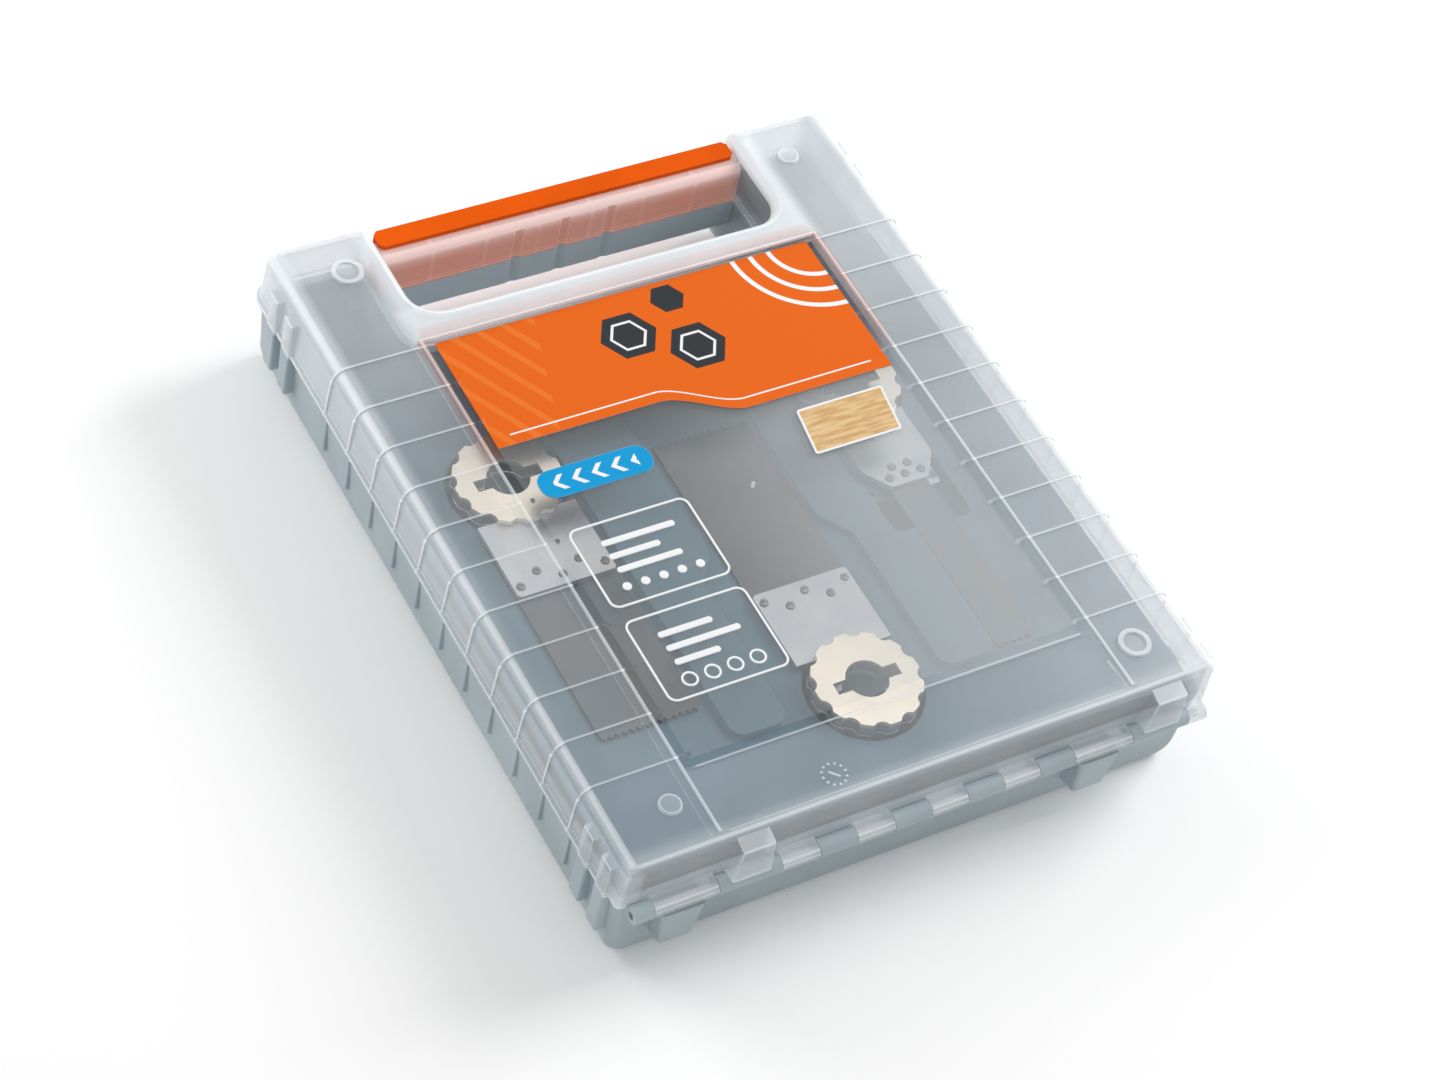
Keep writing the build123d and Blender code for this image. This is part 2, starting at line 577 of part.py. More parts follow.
def base_shell():
    back = CASE_L - BASE_INSET
    body, room = hollow_shell(BASE_HALF, HINGE_INSET, back, (0.0, BASE_RIM), BASE_DRAFT,
                              BASE_EDGE_R, BASE_HINGE_R)
    body += bar((BASE_BAR_BOTTOM, BASE_RIM), BAR_EDGE_R)
    body += rim_bead(BASE_HALF, HINGE_INSET, back, BASE_RIM - BEAD_H, BASE_RIM)
    body += base_fins() + bumps(BASE_HALF, FIN_BOTTOM, BASE_RIM)
    body -= room
    body -= bar_room(BASE_BAR_BOTTOM + BAR_WALL, BASE_RIM + 1)
    body -= finger_grooves(BASE_BAR_BOTTOM - 1, BASE_RIM + 1)
    body += base_feet() + knuckles("base") + [base_lip()] + latch_bosses()
    body -= knuckle_room("base") + [hinge_bore(), latch_pin_holes(), *stack_sockets()]
    body -= rod(CLIP_BARREL_R + SWING_GAP, (-OPEN_HALF, OPEN_HALF), PIVOT_Y, CLIP_PIVOT_Z)
    return body


# ---- pins, clip and card -----------------------------------------------------------------------------
def hinge_pin(side):
    """One of the two pins, pushed in from the ends of the hinge, that meet at its middle."""
    end = knuckle_spans()[-1][2] - HINGE_PIN_SINK
    return rod(HINGE_PIN_D / 2, sorted((side * HINGE_PIN_SPLIT, side * end)), AXIS_Y, BASE_H)


def latch_pin():
    x = OPEN_HALF + LATCH_PIN_SEAT - PIN_GAP
    return rod(LATCH_PIN_D / 2, (-x, x), PIVOT_Y, CLIP_PIVOT_Z)


def latch_clip():
    """Clip hinged under the base's bar that hooks over the lid's bar."""
    half = OPEN_HALF - CLIP_END_GAP
    y0, y1 = BAR_Y1 + CLIP_GAP, BAR_Y1 + CLIP_GAP + CLIP_WEB_T
    z0, z1 = LID_BAR_TOP + CLIP_GAP, LID_BAR_TOP + CLIP_GAP + CLIP_TOP_T
    web = block((-half, half), (y0, y1), (CLIP_PIVOT_Z, z1))
    top = block((-half, half), (BAR_Y1 - CLIP_REACH, y1), (z0, z1))
    clip = web + top
    ends = [e for e in clip.edges().filter_by(Axis.Z) if near(abs(e.center().X), half)]
    cut = [e for e in ends if near(e.center().Y, y1) or near(e.center().Y, BAR_Y1 - CLIP_REACH)]
    clip = chamfer(cut, CLIP_CHAMFER)
    clip = clip + rod(CLIP_BARREL_R, (-half, half), PIVOT_Y, CLIP_PIVOT_Z) + detent(DETENT_R)
    return clip - rod(LATCH_PIN_D / 2 + PIN_GAP, (-BIG, BIG), PIVOT_Y, CLIP_PIVOT_Z)


def label_card():
    return block((-CARD_HALF, CARD_HALF), (CARD_Y, CARD_END), (POCKET_Z, POCKET_Z + CARD_T))


# ---- blades ------------------------------------------------------------------------------------------
def placed(solid, blade):
    """Puts a blade piece, drawn pointing along +Y from the mount's centre, in its place."""
    x, y, way = COLUMNS[BLADES[blade][0]]
    return Pos(x, y, plate_z(blade)) * Rot(0, 0, 0 if way > 0 else 180) * solid


def plate_z(blade):
    """Height of a blade's underside."""
    return TRAY_Z - STACK_PITCH * BLADES[blade][3]


def tongue_width(width):
    return max(width, TONGUE_MIN_W)


def tongue_outline(width, grow=0.0):
    """Half outline of a tongue from its root to its end: (x, y) points, grown for its well."""
    half, end = tongue_width(width) / 2 + grow, width / 2 + grow
    return [(half, TONGUE_REACH - TONGUE_TAPER + grow), (end, TONGUE_REACH + grow)]


def tongue(width, root, z, grow=0.0):
    """A mount's tongue, or the room for it."""
    side = [(tongue_width(width) / 2 + grow, root), *tongue_outline(width, grow)]
    outline = side + [(-x, y) for x, y in reversed(side)]
    return Pos(0, 0, z[0]) * extrude(make_face(Polyline(*outline, close=True)), z[1] - z[0])


def star_mount(width):
    """Dished twelve-point flange with a flat tongue that is welded on the blade plate."""
    weld_z = PLATE_T + TONGUE_PLATE_T - WELD_DEPTH
    top = PLATE_T + STAR_H
    star = post(STAR_R, 0, 0, (PLATE_T, top))
    turn = 360 / STAR_POINTS
    ring = STAR_R + STAR_SCALLOP_R * 0.55
    scallop = post(STAR_SCALLOP_R, ring, 0, (0, 2 * top))
    star -= [Rot(0, 0, (i + 0.5) * turn) * scallop for i in range(STAR_POINTS)]
    flat = tongue(width, CUP_R, (PLATE_T, PLATE_T + TONGUE_PLATE_T))
    ends = [e for e in flat.edges().filter_by(Axis.Z) if near(e.center().Y, TONGUE_REACH)]
    mount = star + fillet(ends, TONGUE_R)
    mount -= post(CUP_R, 0, 0, (0, top - STAR_T))
    mount -= post(STAR_BORE / 2, 0, 0, (0, 2 * top))
    slot_x, slot_y = STAR_SLOT[0] / 2, STAR_SLOT[1] / 2
    mount -= block((-slot_x, slot_x), (-slot_y, slot_y), (0, 2 * top))
    span = WELD_SPAN * width
    return mount - [post(WELD_D / 2, across * span, TONGUE_REACH - from_end, (weld_z, top))
                    for from_end, places in WELD_ROWS for across in places]


def saw_plate(width, reach):
    """Flat plate with a row of teeth across its end."""
    count = int(width / TOOTH_PITCH)
    pitch = width / count
    half = width / 2
    points = [(-half, PLATE_START), (half, PLATE_START), (half, reach - TOOTH_H)]
    for i in range(count):
        points += [(half - (i + 0.5) * pitch, reach), (half - (i + 1) * pitch, reach - TOOTH_H)]
    return extrude(make_face(Polyline(*points, close=True)), PLATE_T)


def blade_plate(blade):
    return placed(saw_plate(*BLADES[blade][1:3]), blade)


def blade_mount(blade):
    return placed(star_mount(BLADES[blade][1]), blade)


# ---- tray --------------------------------------------------------------------------------------------
def blade_well(blade, z, grow):
    """Room for one lower blade, or the outside of its well."""
    width, reach = BLADES[blade][1:3]
    depth = (z[0] - plate_z(blade), z[1] - plate_z(blade))
    half = width / 2 + grow
    shank = block((-half, half), (PLATE_START - grow, reach + grow), depth)
    shank = fillet([e for e in shank.edges().filter_by(Axis.Z) if e.center().Y > reach], ROOM_R)
    return placed(shank + tongue(width, 0, depth, grow) + post(STAR_R + grow, 0, 0, depth), blade)


def island(way, z):
    """A raised island between two blades; each side steps over beside a blade's tongue."""
    mid_low, mid_high = ISLANDS[way][:2]
    side_low, side_high = [HALF - from_wall for from_wall in ISLANDS[way][2:]]
    low, high = ISLAND_FRONT_Y, OPEN_Y - ISLAND_BACK
    mid_step = (ISLAND_MID_STEP_Y, ISLAND_MID_STEP_Y + ISLAND_STEP)
    side_step = (ISLAND_SIDE_STEP_Y, ISLAND_SIDE_STEP_Y + ISLAND_STEP)
    points = [(mid_low, low), (mid_low, mid_step[0]), (mid_high, mid_step[1]), (mid_high, high),
              (side_high, high), (side_high, side_step[1]), (side_low, side_step[0]), (side_low, low)]
    points = [(way * x, y) for x, y in dict.fromkeys(points)]
    solid = Pos(0, 0, z[0]) * extrude(make_face(Polyline(*points, close=True)), z[1] - z[0])
    narrowest = min(side_low - mid_low, side_high - mid_high)
    return fillet(solid.edges().filter_by(Axis.Z), min(ISLAND_R, narrowest / 2 - 0.1))


def blade_tray():
    """Formed tray: a top with raised islands and sunk wells, on a skirt that stands on the base's floor."""
    side = BASE_HALF - TRAY_SIDE
    y = (TRAY_ENDS[0], OPEN_Y - TRAY_ENDS[1])
    flange = HALF - WALL - TRAY_FLANGE_GAP
    flange_y = (WALL + 2 * TRAY_FLANGE_GAP, OPEN_Y - WALL - 2 * TRAY_FLANGE_GAP)
    under = TRAY_Z - TRAY_TOP_T
    lower = [name for name in BLADES if BLADES[name][3]]
    tray = block((-side, side), y, (WALL, TRAY_Z - TRAY_TOP_T / 2))
    tray -= block((TRAY_WALL - side, side - TRAY_WALL), (y[0] + TRAY_WALL, y[1] - TRAY_WALL), (0, under))
    top = block((-flange, flange), flange_y, (under, TRAY_Z))
    tray += fillet(top.edges().filter_by(Axis.Z), ROOM_R)
    tray += [island(way, (under, ISLAND_Z)) for way in ISLANDS]
    top_z = TRAY_Z - TRAY_TOP_T / 2
    tray += [blade_well(name, (plate_z(name) - TRAY_WALL, top_z), WELL_GAP + TRAY_WALL) for name in lower]
    return tray - [blade_well(name, (plate_z(name), ISLAND_Z + 1), WELL_GAP) for name in lower]


def write(name, solid):
    """One STEP file per piece, in the case's frame."""
    export_step(ORIGIN * solid, f"parts/{name}.step")
    print(name, len(solid.solids()))


def main():
    os.makedirs("parts", exist_ok=True)
    write("base_shell", base_shell())
    write("lid_shell", lid_shell())
    write("latch_clip", latch_clip())
    write("hinge_pin_left", hinge_pin(-1))
    write("hinge_pin_right", hinge_pin(1))
    write("latch_pin", latch_pin())
    write("label_card", label_card())
    write("blade_tray", blade_tray())
    for blade in BLADES:
        write(f"{blade}_plate", blade_plate(blade))
        write(f"{blade}_mount", blade_mount(blade))


main()
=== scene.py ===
"""Saw blade storage case: finishes, printed card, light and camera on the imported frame.

Lengths are metres in the frame.  Materials work in millimetres of the case's own axes:
x along the hinge, y from the lid's hinge wall to the handle, z up from the underside.
"""
import math

import bmesh
import bpy
from bpy.props import FloatProperty, FloatVectorProperty, PointerProperty
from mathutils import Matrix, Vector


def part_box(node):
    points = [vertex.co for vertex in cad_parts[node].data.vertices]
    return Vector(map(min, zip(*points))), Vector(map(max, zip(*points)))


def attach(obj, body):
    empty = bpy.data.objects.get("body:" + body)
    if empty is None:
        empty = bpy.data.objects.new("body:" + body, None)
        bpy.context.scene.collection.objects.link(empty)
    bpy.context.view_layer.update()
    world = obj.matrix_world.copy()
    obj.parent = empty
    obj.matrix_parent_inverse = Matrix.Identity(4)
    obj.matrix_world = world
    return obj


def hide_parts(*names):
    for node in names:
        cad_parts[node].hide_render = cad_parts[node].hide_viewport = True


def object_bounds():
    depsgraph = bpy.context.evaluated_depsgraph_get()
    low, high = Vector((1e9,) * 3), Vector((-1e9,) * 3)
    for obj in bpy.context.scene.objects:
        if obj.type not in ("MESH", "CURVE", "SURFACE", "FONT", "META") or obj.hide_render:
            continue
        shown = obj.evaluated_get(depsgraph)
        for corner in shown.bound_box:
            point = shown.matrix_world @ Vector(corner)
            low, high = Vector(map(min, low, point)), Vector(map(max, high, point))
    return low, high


bl_info = {
    "name": "Saw Blade Storage Case",
    "version": (1, 0, 0),
    "blender": (4, 5, 0),
    "location": "3D View > Sidebar > Blade Case",
    "description": "Dresses a hinged blade case with moulded plastic, steel and a printed card",
    "category": "Object",
}

MM = 0.001
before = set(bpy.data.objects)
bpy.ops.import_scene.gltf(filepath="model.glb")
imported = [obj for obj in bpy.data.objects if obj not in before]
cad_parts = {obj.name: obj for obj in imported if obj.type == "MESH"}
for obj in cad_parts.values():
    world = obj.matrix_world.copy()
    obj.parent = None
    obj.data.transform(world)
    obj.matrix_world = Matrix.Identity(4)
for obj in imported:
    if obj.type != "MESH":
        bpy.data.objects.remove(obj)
CAD_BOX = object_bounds()
CARD_LOW, CARD_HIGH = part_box("label_card")
CARD_LIFT = 0.00004                     # metres; the film's underside clears the lid's face
SHARP_ANGLE = math.radians(32.0)        # edges that turn more than this stay crisp
FLAT_ANGLE = math.radians(0.4)          # faces that turn less than this become one
MERGE_DISTANCE = 2e-6
BLADES = ("wood_wide", "wood_medium", "metal_wide", "metal_medium", "metal_narrow", "plunge_short")

# The shells, in case millimetres.
HINGE_WALL_Y = CARD_LOW.y / MM - 30.0   # the case's y = 0 in the frame
CASE_TOP = 50.0                         # the lid's broad face
PARTING_Z = 30.0                        # where the lid meets the base
LID_HALF = 107.0                        # half the width across the lid's rim
LID_LEAN = 1.6 / 20.0                   # its side walls lean in, per millimetre up
OPENING_HALF = 68.5                     # the handle's opening: half its width, middle and half its depth
OPENING_MIDDLE_Y = 231.8
OPENING_REACH = 13.6
BAR_FRONT_Y = 245.5                     # the handle bar's wall on the opening
RIB_FIRST_Y = 30.8                      # the lid's ribs
RIB_PITCH = 17.32
RIBS_Y = (30.0, 205.5)
BAR_RIB_X = 51.0                        # the bar's cross ribs
BAR_RIB_PITCH = 20.0
WINDOW_SIDE = (72.8, 73.4)              # the clear window over the card: its soft side and its ends
WINDOW_Y = (26.8, 206.0)
RAIL_X = (73.65, 74.75)                 # rails beside the card, the head behind it and the stop before it
RAIL_Y = (2.6, 207.4)
HEAD_Y = (206.2, 207.4)
STOP_Y = (26.1, 27.3)
RIM_BEADS = (30.6, 31.5), (32.2, 32.6)  # beads along the lid's rim, from and to in z
MARK_X = 83.7                           # stacking marks: side, y, radius and half width of the bright ring
MARKS = ((-1, 242.0, 4.6, 1.1), (1, 16.6, 4.6, 1.1), (1, 242.0, 3.4, 0.5), (-1, 16.6, 3.4, 0.5))
GATE = (1.0, 117.5)                     # where the lid was filled
DIAL = (-31.8, 8.2, 3.9)                # moulder's dial on the lid: x, y and the ring of pips
DIAL_PIPS = 12
POINTER_PIPS = 5
POINTER_REACH = 1.1
RAISED_STEEL = 39.4                     # above this are the mounts' raised faces
WELD_ROWS = ((3.8, (-1.0, 0.0, 1.0)), (7.7, (-0.5, 0.5)))   # from the tongue's end; places across
WELD_SPAN = 0.43                        # reach of the rows, as a share of the plate's width
WELD_FLOOR = 1.6                        # bottom of a weld spot above the mount's underside

# The print, in case millimetres.
PRINT_SOFT = 0.12                       # soft edge of each shape
BAND_Y = 158.0                          # the band's lower edge, the step in it and where it steps
BAND_STEP = 12.0
BAND_STEP_X = (-12.0, 16.0)
STRIPE_PITCH = 9.0
STRIPE_HALF = 1.3
CORNER = (69.9, 205.0)                  # middle of the arcs
ARC_RADII = (15.0, 22.0, 29.0)
HEXAGONS = ((-8.0, 187.0, 9.0), (12.0, 175.5, 9.0), (12.0, 197.5, 5.5))     # x, y, half across flats
HEXAGON_LINES = ((-8.0, 187.0, 5.5), (12.0, 175.5, 5.5))
PATCH = (44.0, 130.0, 16.0, 9.0, 0.8, 0.15)     # x, y, half width, half height, corner and slant
TAG = (-45.0, 139.0)
TAG_SIZE = (20.0, 5.6, 5.0)             # half width, half height and corner
CHEVRON_SIZE = (15.0, 3.0)
CHEVRON_PITCH = 7.0
FRAMES = ((-44.0, 104.0), (-44.0, 66.0))
FRAME_SIZE = (21.0, 16.0, 3.0)
ROWS_X = -57.0                          # where bars and dots start
BARS = ((112.0, 13.0), (106.5, 9.0), (101.0, 11.5), (74.0, 9.5), (68.5, 13.0), (63.0, 8.0))   # y, half
DOTS = (94.5, 6.5, 1.5, 5)              # y, pitch, radius and number
RINGS = (-55.5, 56.0, 8.0, 2.4, 4)      # first x, y, pitch, radius and number

# Tints beside the colours in the panel.
PLATE_TINT = (0.132, 0.127, 0.124)
# the mounts' tint is mostly a painted highlight on their raised faces
MOUNT_GLINT_TINT = (0.88, 0.79, 0.66)
WELD_TINT = (0.16, 0.13, 0.11)
WIRE_COLOURS = ((0.55, 0.55, 0.56), (0.60, 0.60, 0.60))
BLACK = (0.0, 0.0, 0.0)
WHITE = (1.0, 1.0, 1.0)

# The stage, in metres.
FLOOR_HALF = 3.0
FAR_FLOOR = (500.0, 1500.0)             # in mm from the hinge wall's middle; the floor whitens between
FAR_LIFT = 0.5
LAMPS = (                               # name, setting, place and size
    ("key_lamp", "key_power", (1.30, 0.10, 0.95), 0.8),
    ("fill_lamp", "fill_power", (-0.58, 0.66, 0.44), 0.5),
    ("front_lamp", "front_power", (-0.70, -1.10, 1.10), 1.0),
)
CAMERA_PLACE = (-0.49005, -0.57167, 0.88807)
CAMERA_TURN = (39.507, -10.180, -28.666)


# ---- shader expressions ----------------------------------------------------------------------------
class Wire:
    """A node socket that can be used in Python expressions; each operator adds its Math node."""

    def __init__(self, tree, socket):
        self.tree = tree
        self.socket = socket

    @staticmethod
    def node(tree, kind, settings=None, inputs=None, output=0):
        """Adds a node, sets it up, then fills its sockets with values or links; gives one output."""
        made = tree.nodes.new(kind)
        for name, value in (settings or {}).items():
            setattr(made, name, value)
        for name, value in (inputs or {}).items():
            if isinstance(value, Wire):
                tree.links.new(value.socket, made.inputs[name])
            else:
                made.inputs[name].default_value = value
        return Wire(tree, made.outputs[output])

    def other(self, name):
        """Another output of the same node."""
        return Wire(self.tree, self.socket.node.outputs[name])

    def math(self, operation, *others):
        inputs = dict(enumerate((self, *others)))
        return Wire.node(self.tree, "ShaderNodeMath", {"operation": operation}, inputs)

    def __add__(self, other):
        return self.math("ADD", other)

    __radd__ = __add__

    def __sub__(self, other):
        return self.math("SUBTRACT", other)

    def __rsub__(self, other):
        return Wire.node(self.tree, "ShaderNodeMath", {"operation": "SUBTRACT"}, {0: other, 1: self})

    def __mul__(self, other):
        return self.math("MULTIPLY", other)

    __rmul__ = __mul__

    def __mod__(self, other):
        return self.math("FLOORED_MODULO", other)

    def __abs__(self):
        return self.math("ABSOLUTE")

    def low(self, other):
        return self.math("MINIMUM", other)

    def high(self, other):
        return self.math("MAXIMUM", other)

    def rise(self, start, end):
        """0 before start, 1 after end, smooth between."""
        return Wire.node(self.tree, "ShaderNodeMapRange", {"interpolation_type": "SMOOTHSTEP"},
                         {"Value": self, "From Min": start, "From Max": end})

    def within(self, start, end, soft=0.12):
        """1 between start and end, with soft edges."""
        return self.rise(start - soft, start + soft) * (1 - self.rise(end - soft, end + soft))


def mix_colour(mask, first, second):
    """The first colour where the mask is 0 and the second where it is 1."""
    def full(colour):
        return colour if isinstance(colour, Wire) else (*colour, 1.0)
    return Wire.node(mask.tree, "ShaderNodeMix", {"data_type": "RGBA"},
                     {0: mask, 6: full(first), 7: full(second)}, 2)


def length(dx, dy):
    """Distance from the two steps along x and y."""
    return (dx * dx + dy * dy).math("SQRT")


def dimmed(mask):
    """Keeps a mask between 0 and 1."""
    return mask.high(0.0).low(1.0)


def feed(shader, name, wire):
    """Links a wire to an input of the shader."""
    wire.tree.links.new(wire.socket, shader.inputs[name])


def start_material(name):
    """A new material, its tree, its Principled shader and the place in case millimetres."""
    material = bpy.data.materials.new(name)
    material.use_nodes = True
    tree = material.node_tree
    shader = tree.nodes["Principled BSDF"]
    point = Wire.node(tree, "ShaderNodeTexCoord", output="Object")
    scaled = Wire.node(tree, "ShaderNodeVectorMath", {"operation": "SCALE"}, {0: point, "Scale": 1 / MM})
    shifted = Wire.node(tree, "ShaderNodeVectorMath", {"operation": "SUBTRACT"},
                        {0: scaled, 1: (0.0, HINGE_WALL_Y, 0.0)})
    return material, tree, shader, shifted


def axes(place):
    """The x, y and z of a place."""
    x = Wire.node(place.tree, "ShaderNodeSeparateXYZ", inputs={0: place})
    return x, x.other("Y"), x.other("Z")


def noise(place, size, detail=2.0, roughness=0.5):
    """Noise with features of about this size in millimetres, from 0 to 1."""
    return Wire.node(place.tree, "ShaderNodeTexNoise", inputs={
        "Vector": place, "Scale": 1 / size, "Detail": detail, "Roughness": roughness})


def stretched(place, factors):
    """The place with each axis multiplied by its factor, for grain that runs one way."""
    return Wire.node(place.tree, "ShaderNodeVectorMath", {"operation": "MULTIPLY"}, {0: place, 1: factors})


def set_bump(shader, height, depth):
    """Raises the surface by the height, depth in millimetres at height 1."""
    bump = Wire.node(height.tree, "ShaderNodeBump", inputs={"Height": height, "Distance": depth * MM})
    feed(shader, "Normal", bump)


def handle_bar(x, y):
    """1 in the handle bar, 0 in the rest of a shell."""
    return y.rise(BAR_FRONT_Y - 0.6, BAR_FRONT_Y - 0.4) * (1 - abs(x).rise(OPENING_HALF - 0.8, OPENING_HALF))


# ---- materials -------------------------------------------------------------------------------------
def moulded_plastic(name, colour, roughness, grain_depth=0.012, grain_size=0.45, sheen=0.35,
                    painted_bar_light=1.0):
    """Opaque moulded plastic with a fine spark-eroded grain and faint flow marks.

    The last factor makes the handle bar's colour that much lighter: painted light, standing in for the light
    that comes through its thin wall.
    """
    material, tree, shader, place = start_material(name)
    cloud = noise(place, 42.0, 3.0)
    grain = noise(place, grain_size, 2.0, 0.6)
    dark = tuple(c * 0.93 for c in colour)
    light = tuple(min(1.0, c * 1.06) for c in colour)
    tone = mix_colour(cloud.rise(0.35, 0.65), dark, light)
    # painted light: a lighter colour in the handle bar, for light that comes through it
    if painted_bar_light > 1.0:
        x, y, z = axes(place)
        tone = mix_colour(handle_bar(x, y), tone, tuple(c * painted_bar_light for c in colour))
    feed(shader, "Base Color", tone)
    feed(shader, "Roughness", roughness + 0.10 * grain - 0.05)
    set_bump(shader, grain, grain_depth)
    shader.inputs["Specular IOR Level"].default_value = sheen
    return material


def frosted_lid(name, colour, glow, haze, window_haze):
    """Milky clear plastic: dense at rounded edges, ribs, rails and rim, partly as painted highlight; clear
    under the card.
    """
    material, tree, shader, place = start_material(name)
    x, y, z = axes(place)
    side = abs(x)
    nx, ny, nz = axes(Wire.node(tree, "ShaderNodeTexCoord", output="Normal"))
    cloud = noise(place, 30.0, 2.0)

    # parts of the lid
    top = z.rise(45.6, 46.6)
    wall = 1 - top
    skin = z.rise(49.0, 49.4)
    bar = handle_bar(x, y)
    window = (1 - side.rise(*WINDOW_SIDE)) * y.within(*WINDOW_Y) * z.rise(47.0, 47.1)
    gap_x = side - OPENING_HALF
    gap_y = abs(y - OPENING_MIDDLE_Y) - OPENING_REACH
    near_opening = 1 - (gap_x * 1.5).high(gap_y).rise(5.0, 15.0)
    block_back = y.rise(238.0, 257.0) * side.rise(OPENING_HALF, OPENING_HALF + 2.0)
    lean_in = side - LID_HALF + LID_LEAN * (z - PARTING_Z)
    outside = z.rise(49.2, 49.6).high(lean_in.rise(-0.9, -0.6))

    # bends, ribs and beads, where the view runs along the wall
    pocket = (1 - side.rise(92.0, 96.0)) * y.within(14.0, 207.6)
    tilt = (1 - abs(nx).high(abs(ny)).high(abs(nz))) * (1 - pocket)
    bend = tilt.rise(0.02, 0.24)
    # painted highlight: a narrow bright line along the top's rounded edges
    crest_glint = tilt.rise(0.008, 0.05) * abs(nz).rise(0.60, 0.80)
    rib = ((y - RIB_FIRST_Y + 0.5) % RIB_PITCH).within(0.15, 0.85, 0.15) * side.rise(73.2, 73.4)
    rib = rib * y.within(*RIBS_Y) * outside
    rail = side.within(*RAIL_X, 0.15) * y.within(*RAIL_Y) * skin
    head = y.within(*HEAD_Y, 0.15) * (1 - side.rise(74.6, 74.8)) * skin
    stop = y.within(*STOP_Y, 0.15) * (1 - side.rise(69.0, 70.0)) * z.rise(48.0, 48.4)
    rim = z.within(*RIM_BEADS[0], 0.2).high(z.within(*RIM_BEADS[1], 0.15))
    gate = 1 - length(x - GATE[0], y - GATE[1]).rise(0.5, 0.9)

    def round_mark(sign, cy, radius, width):
        """A bright circle round a stacking mark, and a faint face inside it."""
        reach = length(x - sign * MARK_X, y - cy)
        ring = 1 - abs(reach - radius).rise(width * 0.6, width)
        return (ring.high((1 - reach.rise(radius - 0.1, radius + 0.1)) * 0.35)) * skin

    # partly denser plastic, partly painted highlight: white lines and rings on rails, head, stop, gate and
    # marks
    bright = rail.high(head).high(stop * 0.5).high(gate)
    for mark in MARKS:
        bright = bright.high(round_mark(*mark))

    # how much a face hides: a share for each place, then the window and the bar by themselves
    body = haze - 0.02
    for share, where in (
            (0.05, cloud - 0.5),
            (0.04, wall),
            (0.17, wall * side.rise(99.0, 101.0)),                      # side walls
            (0.46, near_opening * top),
            # painted light: the block tops whiten at the back, for light coming into them and the brighter
            # back end
            (0.20, block_back),
            (0.14, 1 - y.rise(1.0, 8.0)),                               # hinge wall
            # painted light: the top whitens towards the handle, where more light falls on it
            (0.13, y.rise(140.0, 222.0) * top),                         # towards the handle
            # painted highlight: the top whitens towards the right, standing in for glare
            (0.16, x.rise(-20.0, 100.0) * top),                         # towards the right
            (0.26, side.rise(98.0, 103.0) * y.rise(20.0, 240.0))):      # rounded side edges
        body = body + share * where
    # painted highlight: the window grows whiter towards the right, standing in for the key lamp's glare
    painted_window_glare = 0.19 * x.rise(-35.0, 45.0) * (1 - y.rise(130.0, 175.0))
    body = body - (body - window_haze - painted_window_glare) * window
    cross = ((x + BAR_RIB_X) % BAR_RIB_PITCH).within(0.2, 1.8, 0.5)
    body = body - (body - 0.60 - 0.12 * z.rise(38.0, 44.0) - 0.12 * cross) * bar
    upper = z.rise(41.0, 43.0)
    # the rounded edges are denser milk; the crest, ribs and rim beads add white lines that are partly
    # painted highlight
    milk = body + (0.30 * bend + 0.35 * crest_glint) * upper + 0.18 * bend * (1 - upper)
    milk = milk + 0.42 * bright + 0.34 * rib + 0.34 * rim
    feed(shader, "Alpha", milk.high(0.0).low(0.97))

    # painted light: the clip's and the print's orange as it shines in the milk; it stays when they move
    beside = side.within(70.2, 75.5, 0.4) * y.rise(150.0, 162.0) * (1 - y.rise(206.0, 208.0))
    above = y.within(206.0, 212.0, 0.6) * (1 - side.rise(72.0, 74.0)) * 0.5
    tint = mix_colour(cloud.rise(0.3, 0.7), tuple(c * 0.97 for c in colour), colour)
    painted_clip_shine = bar * (1 - 0.45 * z.rise(39.0, 45.0)) * (0.86 + 0.28 * (cloud - 0.5))
    tint = mix_colour(painted_clip_shine, tint, glow)
    tint = mix_colour(beside.high(above) * 0.45, tint, glow)
    feed(shader, "Base Color", tint)
    # painted glow: the handle bar gives off a little light of its tint, though it is no lamp
    feed(shader, "Emission Color", mix_colour(bar, BLACK, tint))
    shader.inputs["Emission Strength"].default_value = 0.09
    grain = noise(place, 0.35, 2.0)
    feed(shader, "Roughness", 0.26 + 0.10 * grain)
    shader.inputs["Specular IOR Level"].default_value = 0.26
    set_bump(shader, grain, 0.002)
    return material


def steel(name, colour, tint, roughness, streak, patch=16.0, glint_above=0.0):
    """Rolled steel with fine streaks along y and a tempered tint in patches.

    Where a height is given, the tint is mostly on the faces above it: a painted highlight, pale and warm.
    """
    material, tree, shader, place = start_material(name)
    lines = noise(stretched(place, (1.0, 0.06, 1.0)), streak, 3.0)
    patches = noise(place, patch, 2.0)
    where = patches.rise(0.35, 0.65)
    # painted highlight: most of the tint goes on the faces above the height
    if glint_above:
        x, y, z = axes(place)
        where = 0.15 * where + 0.85 * z.rise(glint_above, glint_above + 1.2)
    feed(shader, "Base Color", mix_colour(where, colour, tint))
    feed(shader, "Roughness", roughness + 0.12 * (lines - 0.5))
    shader.inputs["Metallic"].default_value = 1.0
    set_bump(shader, lines, 0.0002)
    return material


